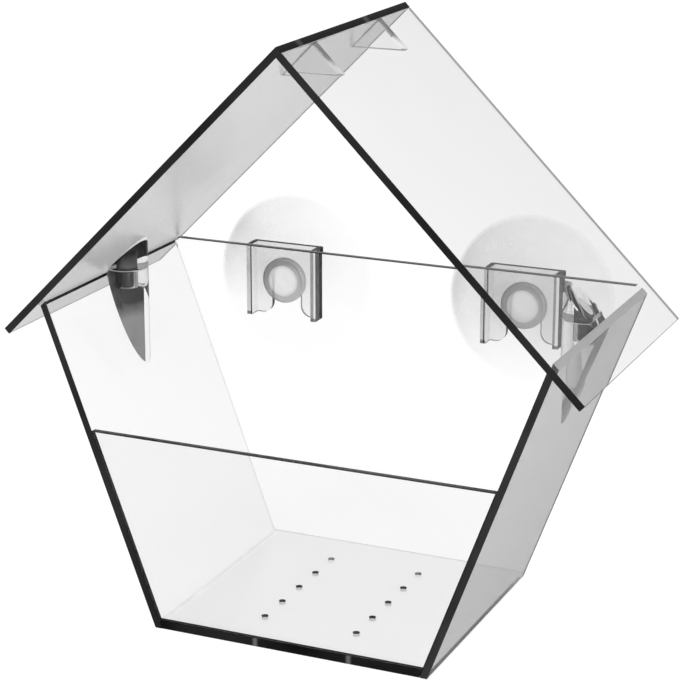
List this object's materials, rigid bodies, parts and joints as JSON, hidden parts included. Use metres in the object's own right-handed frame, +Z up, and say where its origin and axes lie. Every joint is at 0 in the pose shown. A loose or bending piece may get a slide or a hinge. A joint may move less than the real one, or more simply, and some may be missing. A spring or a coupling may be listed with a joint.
{
  "type": "window bird feeder",
  "caption": "Clear acrylic house-shaped window bird feeder with an open front over a low panel, a lift-off pitched roof and suction cups held in slotted brackets.",
  "frame": {"origin": "on the window pane, midway between the centres of the suction cups", "axes": "+Z up, +Y into the window pane, so the feeder's open front faces -Y; +X to the right as seen from the front"},
  "size_m": [0.203, 0.1115, 0.2028],
  "materials": {
    "clear_acrylic": "clear cast acrylic sheet and rod, polished edges",
    "clear_moulding": "clear injection moulding",
    "dark_pin": "dark grey acrylic pin",
    "soft_vinyl": "clear soft vinyl"
  },
  "bodies": {
    "house": {"floor": "clear_acrylic", "front_panel": "clear_acrylic", "back_panel": "clear_acrylic", "left_wall": "clear_acrylic", "right_wall": "clear_acrylic", "left_lower_post": "clear_acrylic", "right_lower_post": "clear_acrylic", "left_bracket": "clear_moulding", "right_bracket": "clear_moulding"},
    "roof": {"roof_left_panel": "clear_acrylic", "roof_right_panel": "clear_acrylic", "ridge_gusset_front": "clear_acrylic", "ridge_gusset_rear": "clear_acrylic", "left_upper_post": "clear_acrylic", "right_upper_post": "clear_acrylic", "left_dowel": "dark_pin", "right_dowel": "dark_pin"},
    "left_cup": {"left_suction_cup": "soft_vinyl"},
    "right_cup": {"right_suction_cup": "soft_vinyl"}
  },
  "joints": [
    {"name": "roof_lift", "type": "slide", "parent": "house", "child": "roof", "axis": [0, 0, 1], "range_m": [0, 0.08]},
    {"name": "left_cup_slide", "type": "slide", "parent": "house", "child": "left_cup", "axis": [0, 0, -1], "range_m": [0, 0.03]},
    {"name": "right_cup_slide", "type": "slide", "parent": "house", "child": "right_cup", "axis": [0, 0, -1], "range_m": [0, 0.03]}
  ]
}
